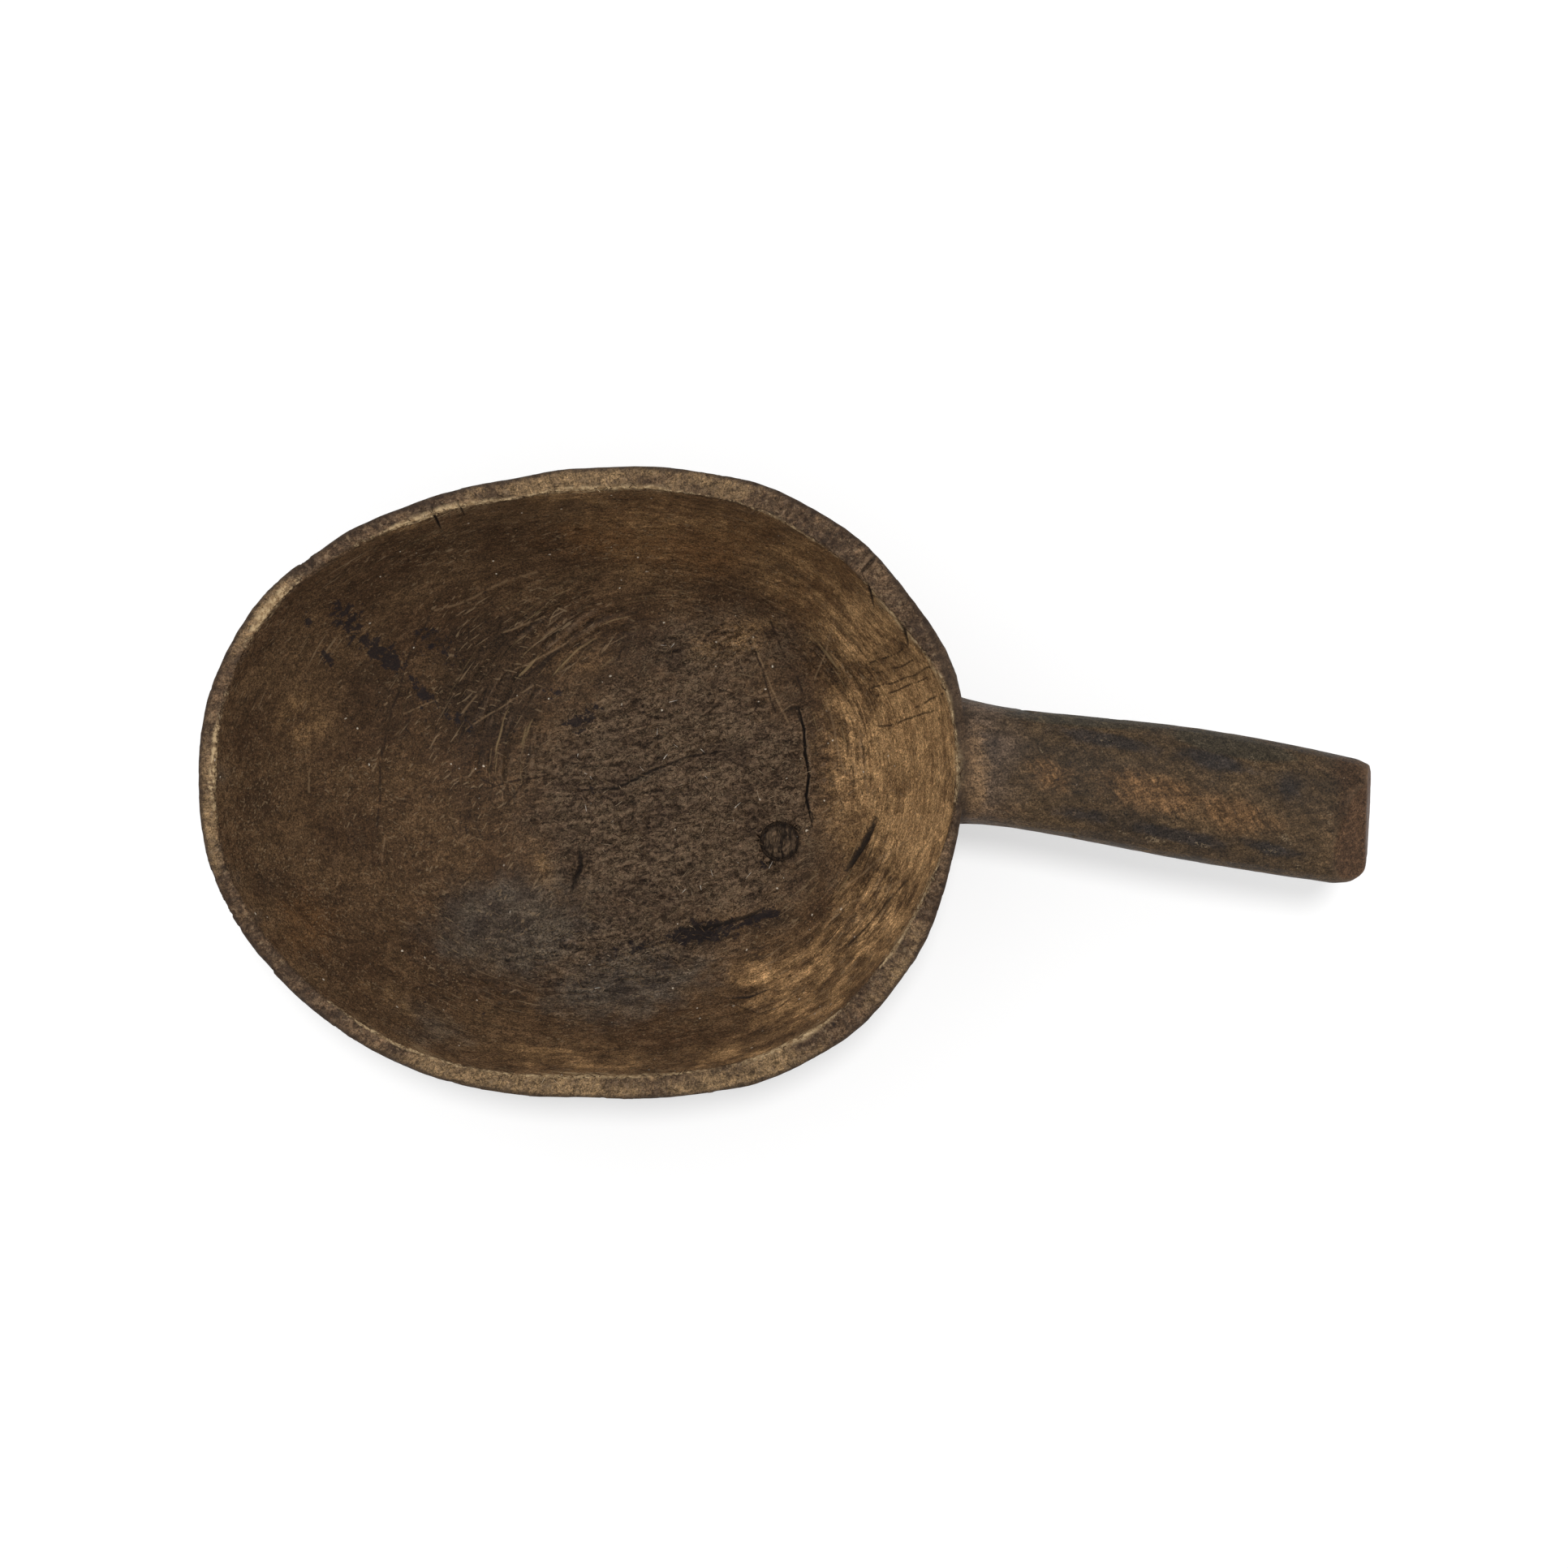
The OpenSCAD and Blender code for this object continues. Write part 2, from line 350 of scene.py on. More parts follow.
# Cuts in the hollow and the rim: the path, its width and its depth
CUTS_MM = [
    (CRACK_MM, 1.3, 1.8),
    ([(50, -4), (48, -12)], 0.7, 0.7),
    ([(75.5, -14), (71.5, -22), (65, -33)], 2.6, 0.9),
    ([(62, -36), (56, -43)], 1.2, 0.5),
    ([(84, -37), (80, -47), (71, -57), (62, -62)], 1.1, 0.5),
    ([(77, -38), (73, -47), (65, -55)], 1.0, 0.45),
    ([(17, -81), (27, -80.5), (37, -76.5)], 1.3, 0.8),
    ([(14, -79), (22, -83), (31, -86), (39, -83), (45, -78)], 1.0, 0.5),
    ([(-89, 103), (-86, 93)], 1.6, 1.0),
    ([(-79.5, 105), (-77, 98)], 1.4, 0.9),
    ([(75, 84), (72, 80), (69, 77)], 2.4, 1.4),
    ([(69.5, 77), (71, 72), (73.5, 64)], 1.6, 1.0),
    ([(80, 62), (84, 56), (86, 50)], 1.6, 1.0),
    ([(-44, -3), (-24, -2), (-10, 5), (4, 10.5), (24, 13.5)], 2.0, 0.7),
    ([(-3, -56), (12, -55), (27, -51), (38, -45)], 2.6, 0.8),
    ([(-39, -22), (-38, -32), (-42, -43)], 3.0, 0.7),
    ([(-66, -30), (-58, -31), (-50, -42), (-49, -52)], 1.2, 0.3),
    ([(-48, -42), (-43, -55), (-46, -64)], 0.9, 0.25),
]


def beside(points, path_mm):
    """How far each point is from a path seen from above, in mm, and along it, 0 to 1."""
    flat = points[:, :2] / MM
    path = np.array(path_mm, float)
    spans = np.hypot(*(path[1:] - path[:-1]).T)
    marks = np.concatenate([[0], np.cumsum(spans)]) / spans.sum()
    best = np.full(len(points), 1e9)
    share = np.zeros(len(points))
    for a, b, start, end in zip(path[:-1], path[1:], marks[:-1], marks[1:]):
        k = np.clip(((flat - a) @ (b - a)) / ((b - a) @ (b - a)), 0, 1)
        d = np.hypot(*(flat - a - k[:, None] * (b - a)).T)
        nearer = d < best
        best = np.where(nearer, d, best)
        share = np.where(nearer, start + k * (end - start), share)
    return best, share


KNOT_PLACE = (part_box("knot_bark")[0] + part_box("knot_bark")[1]) / 2
KNOT_REACH = (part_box("knot_bark")[1].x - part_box("knot_bark")[0].x) / 2

points, normals = points_of(scoop.data)
hollow, rim, grip, lip, brink = zones(points, normals)
near = (np.abs(lip) < 2.5 * MM) & (grip < 0.5)
for path, width, _ in CUTS_MM:
    near |= (beside(points, path)[0] < width + 0.6) & (hollow > 0.5)
from_knot = np.hypot(*(points[:, :2] - np.array(KNOT_PLACE)[:2]).T)
near |= (from_knot < KNOT_REACH + 3 * MM) & (from_knot > KNOT_REACH - 3 * MM)
refine(scoop, near)

points, normals = points_of(scoop.data)
hollow, rim, grip, lip, brink = zones(points, normals)
cut_depth = np.zeros(len(points))
for path, width, depth in CUTS_MM:
    distance, share = beside(points, path)
    taper = np.sqrt(np.clip(4 * share * (1 - share), 0, 1)) * 0.8 + 0.2
    cut_depth = np.maximum(cut_depth, depth * taper * (1 - ease_between(0.1, 0.5, distance / width / taper)))
cut_depth *= np.maximum(hollow, rim)
parts = {"hollow": hollow, "rim": rim, "grip": grip, "lip": lip / MM, "brink": brink / MM, "cut": cut_depth}
for name, values in parts.items():
    store(scoop.data, name, values)


def blob(place_mm, reach_mm, turn):
    """For each point, 1 at a place and 0 beyond an ellipse round it, turned by so many degrees."""
    away = points[:, :2] / MM - np.array(place_mm)
    c, s = math.cos(math.radians(turn)), math.sin(math.radians(turn))
    along = (away[:, 0] * c + away[:, 1] * s) / reach_mm[0]
    across = (away[:, 1] * c - away[:, 0] * s) / reach_mm[1]
    return ease_between(1, 0, np.hypot(along, across))


def blobs(*places):
    """The strongest of several blobs, each given as strength, place, reach and turn."""
    return np.max([strength * blob(*place) for strength, *place in places], axis=0)


# The floor, where the gouge tore the fibres up
torn = blobs(
    (1.6, (0, -6), (92, 80), 8), (1.0, (-20, -62), (76, 34), 8), (0.8, (14, 52), (64, 26), 4),
)
# The gouge's sweeps, plainest round the floor
sweeps = blobs(
    (1.0, (-50, 52), (62, 36), 34), (0.9, (-66, 8), (26, 50), -4), (0.9, (62, 30), (24, 60), 8),
    (1.0, (66, -42), (26, 46), -38), (0.5, (10, 70), (60, 20), 0),
)
# Rows of short digs, low on the left
dashes = blobs(
    (1.0, (-40, -72), (78, 34), 2), (0.8, (20, -64), (40, 16), 10), (0.5, (-90, -40), (30, 30), 0),
)
# Wood rubbed bare and ochre, mostly up the wall at the handle. There it is also painted light: that side of
# the hollow is painted lighter, as if it caught more light
ochre = blobs(
    (1.1, (90, 20), (30, 56), 12), (0.8, (74, 8), (34, 66), 4), (1.05, (90, -14), (28, 46), -8),
    (0.75, (70, 56), (34, 30), -40), (0.7, (76, -50), (26, 44), -34), (0.75, (34, -71), (22, 10), 12),
    (0.6, (50, -74), (46, 22), 36), (0.45, (46, 78), (44, 22), -32), (0.4, (-40, -101), (50, 8), -4),
    (0.4, (22, -100), (40, 9), 6), (0.3, (-100, -84), (34, 8), -30), (0.35, (0, 98), (90, 14), -4),
    (0.6, (-93, 98), (22, 6), 24), (0.5, (-35, 106), (40, 6), 6), (0.45, (22, 56), (30, 12), 12),
    (0.35, (-53, -34), (7, 17), 12), (0.3, (-140, 24), (16, 20), 0), (0.3, (-10, 84), (30, 12), 0),
)
# Blue-grey grime, worked in low on the left and round the lip
grime = blobs(
    (0.95, (-62, -54), (56, 36), 6), (0.8, (-20, -76), (60, 26), 6), (0.8, (-168, -34), (9, 14), 70),
    (0.8, (-158, -52), (8, 16), -50), (0.5, (-166, 2), (8, 14), 0), (0.45, (-12, 3), (30, 4), 20),
    (0.5, (-90, -90), (36, 14), -30),
)
# Nearly black wood: in part the wood's own dark patches, in part painted shade on the upper-left wall and
# along the grooves low in the hollow
dark = blobs(
    (1.0, (10, -59), (30, 9), 6), (0.9, (34, -53), (24, 8), 16), (0.55, (44, -28), (22, 24), 0),
    (0.5, (-18, 1), (26, 4), 20), (0.5, (-62, 62), (60, 36), 28), (0.45, (-40, 52), (48, 12), 8),
    (0.4, (-84, 86), (50, 14), 30), (0.4, (50, -50), (18, 18), 40), (0.45, (42, 78), (26, 12), -30),
    (1.0, (-72, 38), (42, 52), -12), (0.5, (-112, 36), (38, 44), 30), (0.4, (-12, 50), (40, 20), 0),
    (0.45, (-80, -8), (20, 34), 0), (0.5, (-154, -8), (12, 22), 0), (0.5, (-150, -36), (16, 14), 0),
    (0.5, (-56, 50), (30, 16), 20), (0.4, (46, 10), (12, 34), 0), (0.35, (-106, 30), (30, 24), 40),
    (0.8, (-39, -33), (6, 15), -10),
)
# Small black spots: stains on the left of the hollow, and painted shade along the grooves low in the hollow
spots = blobs(
    (1.0, (-48, 35), (7, 4), 5), (0.9, (-38, 24), (11, 6), 25), (0.8, (-33, 30), (7, 3), -20),
    (0.75, (-123, 61), (13, 11), -30), (0.95, (-112, 49), (22, 7), -38), (0.7, (-97, 34), (16, 6), -50),
    (0.6, (-93, 53), (18, 9), -35), (0.9, (-131, 47), (4, 6), 20), (0.8, (-137, 60), (4, 4), 0),
    (0.55, (-84, 24), (12, 6), -30), (0.6, (-34, -3), (5, 3), 0), (0.8, (33, -31), (4, 5), 0),
    (0.95, (10, -57), (26, 8), 8), (0.85, (32, -51), (15, 5), 22), (0.7, (-16, -63), (20, 5), 10),
)
# Red-brown wood along the far wall
warm = blobs(
    (0.8, (0, 92), (84, 24), -4), (0.8, (52, 74), (40, 24), -38), (0.35, (50, -82), (30, 14), 30),
    (0.5, (-136, -52), (26, 22), -40),
)
# The rim, handled pale on three sides, and grey as far as the handle
pale_rim = blobs(
    (0.7, (-172, -20), (12, 60), 0), (0.6, (-150, 66), (18, 34), -40), (0.8, (-58, -110), (100, 18), -6),
    (0.8, (30, -110), (80, 18), 12), (0.6, (88, -70), (20, 34), -40), (0.7, (-40, 110), (60, 12), 5),
    (0.55, (16, 110), (42, 12), -8), (0.7, (-10, 116), (50, 8), 0), (1.0, (110, 2), (9, 26), 0),
)
# Crumbling, cream-coloured wood along the lip
crumbly = blobs(
    (1.1, (80, 62), (16, 26), 30), (1.1, (96, 34), (14, 24), 22), (1.1, (106, 6), (12, 26), 4),
    (0.9, (-84, 98), (50, 18), 24), (0.9, (-22, 108), (56, 16), 2), (0.7, (-150, 66), (22, 26), -40),
    (0.8, (-100, -88), (50, 18), -30), (1.0, (-30, -106), (70, 16), -2), (1.0, (46, -98), (44, 18), 26),
    (1.0, (90, -48), (18, 40), -30), (0.6, (44, 96), (44, 16), -26), (0.5, (-168, 10), (14, 40), 0),
)
# How far the rim's dark wood reaches down into the hollow, in mm
inset = blobs(
    (4.2, (82, 58), (26, 34), 34), (2.5, (58, 86), (34, 24), -40), (2.0, (96, -44), (20, 34), -24),
    (1.2, (-20, -112), (70, 20), 0),
)
inset -= blobs(
    (2.6, (-146, 66), (64, 40), 45), (2.2, (-176, -10), (24, 80), 0), (1.5, (-90, 108), (50, 20), 24),
)
# Along the handle: worn brown wood, blue-black grime, pale crumbs, the smooth top bevel
worn = blobs(
    (0.9, (138, 3), (14, 9), -30), (1.0, (178, -4), (34, 11), -14), (1.0, (206, -12), (26, 10), -16),
    (0.5, (118, -11), (16, 4), 0),
)
soot = blobs(
    (1.0, (160, 16), (36, 5), -12), (0.9, (200, 8), (30, 5), -16), (0.8, (226, -2), (9, 12), 0),
    (0.8, (150, -12), (20, 5), -8), (1.0, (184, -19), (32, 5), -12), (0.9, (219, -24), (24, 4), -14),
    (0.5, (118, 14), (18, 9), -10),
)
crumbs = blobs(
    (1.0, (165, -18), (5, 2.5), -20), (1.0, (177, -21), (10, 2.5), -10), (1.0, (195, -23), (8, 2.5), -5),
    (1.0, (220, -25), (8, 3), -20), (0.9, (225, -20), (5, 7), 20), (0.9, (230, -31), (5, 2), -40),
    (0.9, (159, 15), (9, 3), -20), (0.9, (187, 16), (6, 1.4), 0), (0.7, (214, 8), (5, 5), -30),
    (0.7, (228, 11), (5, 3), -20), (0.8, (241, -12), (3, 9), -4), (0.9, (120, -11), (9, 2), 0),
    (0.8, (135, 12), (4, 1.5), -35),
)
bevel = blobs((1.4, (150, 25), (62, 7), -5), (1.4, (206, 14), (40, 7), -12)) * (normals[:, 1] > 0.12)
tones = {"torn": torn, "sweeps": sweeps, "dashes": dashes, "ochre": ochre, "grime": grime, "dark": dark,
         "spots": spots, "warm": warm}
for name, values in tones.items():
    store(scoop.data, name, values * hollow)
# Painted light: the handle's end face, turned away from the lamp, is marked here to be painted lighter.
end_face = ease_between(0.3, 0.75, normals[:, 0]) * (points[:, 0] > 236 * MM)
for name, values in {"pale_rim": pale_rim, "crumbly": crumbly, "inset": inset, "end_face": end_face}.items():
    store(scoop.data, name, values)
for name, values in {"worn": worn, "soot": soot, "crumbs": crumbs, "bevel": bevel}.items():
    store(scoop.data, name, values * (normals[:, 2] > 0) * (1 - hollow))


def group_tree(name, sizes):
    """An empty geometry tree with named sizes; returns it, its geometry and a wire for each size."""
    tree = bpy.data.node_groups.new(name, "GeometryNodeTree")
    face = tree.interface
    face.new_socket(name="Geometry", in_out="INPUT", socket_type="NodeSocketGeometry")
    for size, value in sizes.items():
        kind = "NodeSocketInt" if isinstance(value, int) else "NodeSocketFloat"
        face.new_socket(name=size, in_out="INPUT", socket_type=kind).default_value = value
    face.new_socket(name="Geometry", in_out="OUTPUT", socket_type="NodeSocketGeometry")
    entry = tree.nodes.new("NodeGroupInput")
    wires = {size: Wire(tree, entry.outputs[size]) for size in sizes}
    return tree, Wire(tree, entry.outputs["Geometry"]), wires


def run_tree(piece, tree, geometry, material, sizes):
    """Ends a geometry tree, runs it on the piece with the sizes given, and keeps the mesh."""
    geometry = add_node(tree, "GeometryNodeRealizeInstances", values={0: geometry})
    geometry = add_node(tree, "GeometryNodeSetMaterial", values={"Geometry": geometry, "Material": material})
    tree.links.new(geometry.output, tree.nodes.new("NodeGroupOutput").inputs[0])
    modifier = piece.modifiers.new(tree.name, "NODES")
    modifier.node_group = tree
    for item in tree.interface.items_tree:
        if item.in_out == "INPUT" and item.name in sizes:
            modifier[item.identifier] = sizes[item.name]
    return bake_modifiers(piece)


def named(tree, name):
    """A number kept on the mesh's points, in a geometry tree."""
    return add_node(tree, "GeometryNodeInputNamedAttribute", {"data_type": "FLOAT"}, {"Name": name})


def ramp(x, low, high, start=0.0, end=1.0):
    """Eases from start to end as x goes from low to high."""
    return add_node(x.tree, "ShaderNodeMapRange", {"interpolation_type": "SMOOTHSTEP"},
                    {0: x, 1: low, 2: high, 3: start, 4: end})


def axis(vector, number):
    return add_node(vector.tree, "ShaderNodeSeparateXYZ", values={0: vector}, output=number)


def join(tree, x, y, z):
    return add_node(tree, "ShaderNodeCombineXYZ", values={0: x, 1: y, 2: z})


def noise(place, scale, detail=3.0, roughness=0.5):
    """Smooth noise round 0.5; scale is in features for each unit of place."""
    return add_node(place.tree, "ShaderNodeTexNoise", values={
        "Vector": place, "Scale": scale, "Detail": detail, "Roughness": roughness})


def cells(place, scale, output="Distance", feature="F1"):
    return add_node(place.tree, "ShaderNodeTexVoronoi", {"feature": feature},
                    {"Vector": place, "Scale": scale}, output)


GRAIN_TURN = 12.0
SWEEP_MM = (0.0, 2.0)


def turned(place, degrees, stretch):
    """Coordinates turned about Z, that run stretch times slower along their first axis."""
    place = add_node(place.tree, "ShaderNodeVectorRotate", {"rotation_type": "Z_AXIS"},
                     {"Vector": place, "Angle": math.radians(-degrees)})
    return place * (1 / stretch, 1.0, 1.0)


def along_grain(place, stretch):
    return turned(place, GRAIN_TURN, stretch)


def drift(place, scale, most):
    """A smooth wandering offset of up to about half of most each way."""
    cloud = noise(place, scale, 2.0)
    other = noise(place + (31.0, 17.0, 5.0), scale, 2.0)
    return (join(place.tree, cloud, other, 0.5) - (0.5, 0.5, 0.5)) * (most * 2)


def round_hollow(place, around, across):
    """Coordinates that run along the sweeps of the gouge round the floor, and across them."""
    x = axis(place, 0) - SWEEP_MM[0]
    y = axis(place, 1) - SWEEP_MM[1]
    reach = (x * x + y * y) ** 0.5
    slope = reach + axis(place, 2) * 0.8
    return join(place.tree, x / reach * around, y / reach * around, slope * across)


def marks_tree(name, sizes):
    """A geometry tree on the scoop, with its place in mm and its zones."""
    tree, geometry, wires = group_tree(name, sizes)
    place = add_node(tree, "GeometryNodeInputPosition") * 1000.0
    normal = add_node(tree, "GeometryNodeInputNormal")
    return tree, geometry, wires, place, normal


def sink(geometry, normal, depth):
    """Moves the skin into the wood by depth, in mm."""
    return add_node(geometry.tree, "GeometryNodeSetPosition",
                    values={"Geometry": geometry, "Offset": normal * (depth * -MM)})


def hew_outside(piece, material):
    """Flat knife cuts all over the outside, each a small plane that touches the round shape."""
    sizes = {"Flat Length": 30.0, "Flat Width": 18.0, "Bite": 0.5}
    tree, geometry, size, place, normal = marks_tree("knife_flats", sizes)
    hollow = named(tree, "hollow")
    outside = ramp(hollow + named(tree, "rim") * 0.6, 0.6, 0.1)
    ratio = size["Flat Width"] / size["Flat Length"]
    stretched = place * join(tree, ratio, 1.0, 1.0)
    seed = cells(stretched, 1.0 / size["Flat Width"], "Position")
    centre = seed / join(tree, ratio, 1.0, 1.0) * MM
    shell = add_node(tree, "GeometryNodeSeparateGeometry", {"domain": "FACE"},
                     {"Geometry": geometry, "Selection": outside.combine("GREATER_THAN", 0.5)})
    nearest = add_node(tree, "GeometryNodeSampleNearestSurface", {"data_type": "FLOAT_VECTOR"},
                       {"Mesh": shell, "Value": place, "Sample Position": centre})
    facing = add_node(tree, "GeometryNodeSampleNearestSurface", {"data_type": "FLOAT_VECTOR"},
                      {"Mesh": shell, "Value": normal, "Sample Position": centre})
    height = (nearest - place).combine("DOT_PRODUCT", facing)
    grip = named(tree, "grip")
    bite = noise(seed, 0.3) * size["Bite"] * (1.5 - grip)
    depth = (bite - height).combine("MAXIMUM", 0.0).combine("MINIMUM", 1.1 - grip * 0.6) * outside
    geometry = sink(geometry, facing, depth)
    run_tree(piece, tree, geometry, material, sizes)


carved_wood = new_material("carved_wood")
hew_outside(scoop, carved_wood)


def gouge_inside(piece, material):
    """Sweeps of the gouge in the hollow, torn grain on the floor, nicks and chips on the rim."""
    sizes = {"Sweep Length": 36.0, "Sweep Width": 7.0, "Sweep Depth": 0.5, "Tear Depth": 0.8,
             "Dig Depth": 0.8, "Nick Depth": 0.5, "Chip Depth": 1.6}
    tree, geometry, size, place, normal = marks_tree("gouge_sweeps", sizes)
    hollow, rim, lip, crumbly = (named(tree, n) for n in ("hollow", "rim", "lip", "crumbly"))
    fray = noise(place, 0.07, 4, 0.6) - 0.5
    wander = place + drift(place, 0.03, 5.0)
    path = round_hollow(wander, 70.0 / size["Sweep Length"], 1 / size["Sweep Width"])
    scallop = cells(path, 1.0, feature="SMOOTH_F1") * size["Sweep Depth"]
    swept = ramp(named(tree, "sweeps") + fray * 0.8, 0.1, 0.8) * 0.85 + 0.15
    gap = ramp(noise(place, 0.045, 3), 0.38, 0.6) * swept
    lines = ramp(noise(round_hollow(wander, 2.2, 0.32), 1.0, 4, 0.62), 0.45, 0.7) * gap * 1.4
    torn = ramp(named(tree, "torn") + fray * 1.3, 0.15, 0.95)
    fibres = along_grain(place + drift(place, 0.2, 2.4), 1.8)
    tufts = ramp(noise(fibres, 0.5, 5, 0.72), 0.36, 0.66) * size["Tear Depth"]
    lumps = ramp(noise(along_grain(wander, 2.2), 0.11, 6, 0.66), 0.36, 0.66) * size["Tear Depth"] * 1.7
    ridge = ramp(abs(noise(along_grain(wander, 2.4) + (7.0, 21.0, 4.0), 0.1, 3) - 0.5), 0.05, 0.0) * 0.6
    dashes = ramp(named(tree, "dashes") + fray, 0.2, 0.7)
    digs = ramp(noise(along_grain(wander, 3.2), 0.21, 2, 0.5), 0.55, 0.68) * dashes * size["Dig Depth"]
    nick = ramp(noise(round_hollow(place, 45.0, 0.08), 1.0, 3, 0.6), 0.4, 0.7) * size["Nick Depth"] * rim
    nick = nick + ramp(noise(place, 0.45, 4, 0.7), 0.42, 0.68) * size["Nick Depth"] * rim
    at_lip = ramp(abs(lip), 4.0, 0.2) * (1 - ramp(named(tree, "grip"), 0.2, 0.8) * 0.6)
    bites = ramp(noise(place, 0.24, 5, 0.72), 0.44, 0.66)
    chips = (ramp(noise(place, 0.05, 3), 0.4, 0.62) * 0.5 + crumbly * 0.7 + 0.15) * (bites * 0.75 + 0.25)
    swell = (noise(place, 0.02, 2) * 0.6 + noise(place, 0.11, 3) * 0.35) * (hollow * 0.8 + 0.2)
    rough = ramp(noise(along_grain(place, 6.0), 0.35, 4, 0.6), 0.3, 0.8) * 0.18
    handled = noise(place, 0.3, 4, 0.65) * ramp(named(tree, "soot") + named(tree, "crumbs"), 0.2, 0.8) * 0.4
    depth = (scallop + lines) * (1 - torn * 0.6) * hollow + (tufts + lumps + ridge) * torn * hollow + digs
    depth = depth + nick + chips * size["Chip Depth"] * at_lip + swell + rough + handled + named(tree, "cut")
    geometry = sink(geometry, normal, depth)
    run_tree(piece, tree, geometry, material, sizes)


gouge_inside(scoop, carved_wood)


def note_relief(piece, material):
    """Keeps on each point how far it stands out of, or lies below, the skin round it."""
    sizes = {"Spread": 5}
    tree, geometry, size, place, normal = marks_tree("relief", sizes)
    soft = add_node(tree, "GeometryNodeBlurAttribute", {"data_type": "FLOAT_VECTOR"},
                    {"Value": place, "Iterations": size["Spread"]})
    height = (place - soft).combine("DOT_PRODUCT", normal)
    geometry = add_node(tree, "GeometryNodeStoreNamedAttribute", {"data_type": "FLOAT", "domain": "POINT"},
                        {"Geometry": geometry, "Name": "relief", "Value": height})
    run_tree(piece, tree, geometry, material, sizes)


note_relief(scoop, carved_wood)


def keep_inside(piece, low, high):
    """No point may stand outside the box."""
    put_points(piece, np.clip(points_of(piece.data)[0], low, high))


def thin_out(piece, most):
    """Brings the piece down to a number of triangles, most of them left where its shape needs them."""
    count = sum(len(p.vertices) - 2 for p in piece.data.polygons)
    if count > most:
        fewer = piece.modifiers.new("fewer", "DECIMATE")
        fewer.ratio = most / count
        bake_modifiers(piece)


keep_inside(scoop, cad_low, cad_high)
thin_out(scoop, MOST_TRIANGLES)


def true_round(piece, middle, nearest, farthest, reach):
    """Puts the points of an upright round wall back on their circle."""
    points, normals = points_of(piece.data)
    away = points[:, :2] - np.array(middle)[:2]
    distance = np.hypot(away[:, 0], away[:, 1])
    wall = (distance > nearest) & (distance < farthest) & (np.abs(normals[:, 2]) < 0.8)
    points[wall, :2] = np.array(middle)[:2] + away[wall] / distance[wall, None] * reach
    put_points(piece, points)


true_round(scoop, KNOT_PLACE, KNOT_REACH - 1 * MM, KNOT_REACH + 2 * MM, KNOT_REACH + 0.02 * MM)
scoop.data.shade_smooth()


def pick(tree, name):
    """A number kept on the mesh's points, in a material."""
    return add_node(tree, "ShaderNodeAttribute", {"attribute_name": name}, output="Fac")


def place_mm(tree):
    return add_node(tree, "ShaderNodeTexCoord", output="Object") * 1000.0


def blend(share, base, top):
    """One colour over another. A colour is a wire, or six hexadecimal digits."""
    base, top = (tint(colour) if isinstance(colour, str) else colour for colour in (base, top))
    return add_node(share.tree, "ShaderNodeMix", {"data_type": "RGBA"}, {0: share, 6: base, 7: top}, 2)


# Scratches on the wall of the hollow, each from one place to another
PALE_SCRATCHES_MM = [
    ((-93, 66), (-53, 80)), ((-69, 58), (-52, 65)), ((-64, 44), (-43, 55)), ((-83, 27), (-76, 37)),
    ((-82, 21), (-56, 38)), ((-106, 26), (-92, 31)), ((-139, 5), (-139.5, -5)), ((-113, -21), (-113, -29)),
    ((57, 30), (66, 4)), ((52, 40), (60, 62)), ((71, 20), (74, -4)), ((28, 56), (44, 20)),
    ((64, -40), (88, -20)), ((60, -50), (84, -36)),
]
DARK_SCRATCHES_MM = [
    ((73, 46), (84, 51)), ((75, 42), (89, 47)), ((74, 36), (94, 43)), ((76, 33), (93, 39)),
    ((90, 28), (99, 32)), ((78, 22), (96, 26)), ((-111, 25), (-95, 64)), ((-112, 24), (-116, -16)),
    ((-76, 2), (-58, -10)), ((-76, -3), (-52, 3)), ((-68, -10), (-58, 2)), ((36, 62), (48, 34)),
    ((30, 50), (38, 28)), ((86, -36), (66, -61)),
]
SPLITS_MM = [((76, -13.5), (71.5, -22)), ((71.5, -22), (65, -33.5))]


def scratches(place, paths_mm, width):
    """1 on a scratch and 0 off it, seen from above."""
    flat = place * (1.0, 1.0, 0.0)
    found = None
    for (ax, ay), (bx, by) in paths_mm:
        span = (bx - ax, by - ay, 0.0)
        away = flat - (ax, ay, 0.0)
        share = away.combine("DOT_PRODUCT", span) / (span[0] ** 2 + span[1] ** 2)
        share = share.combine("MINIMUM", 1.0).combine("MAXIMUM", 0.0)
        distance = (away - share * span).combine("LENGTH")
        mark = ramp(distance, width, 0.0)
        found = mark if found is None else found.combine("MAXIMUM", mark)
    return found


def threads(place, scale, width):
    """Thin wandering lines, where a noise passes through its middle."""
    return ramp(abs(noise(place, scale, 2.0) - 0.5), width, width * 0.2)


def lit(base, value, saturation=1.0):
    """A colour made lighter or darker, and stronger or greyer."""
    return add_node(base.tree, "ShaderNodeHueSaturation",
                    values={"Color": base, "Saturation": saturation, "Value": value})


def dry_surface(material, base, roughness, height=None, deepest=0.5):
    """Ends a material as dry wood with little gloss. height is its finest relief, deepest in mm."""
    values = {"Base Color": base, "Roughness": roughness, "Specular IOR Level": 0.12}
    if height is not None:
        values["Normal"] = add_node(base.tree, "ShaderNodeBump", values={
            "Height": height, "Strength": 1.0, "Distance": deepest * MM})
    return finish_material(material, add_node(base.tree, "ShaderNodeBsdfPrincipled", values=values))


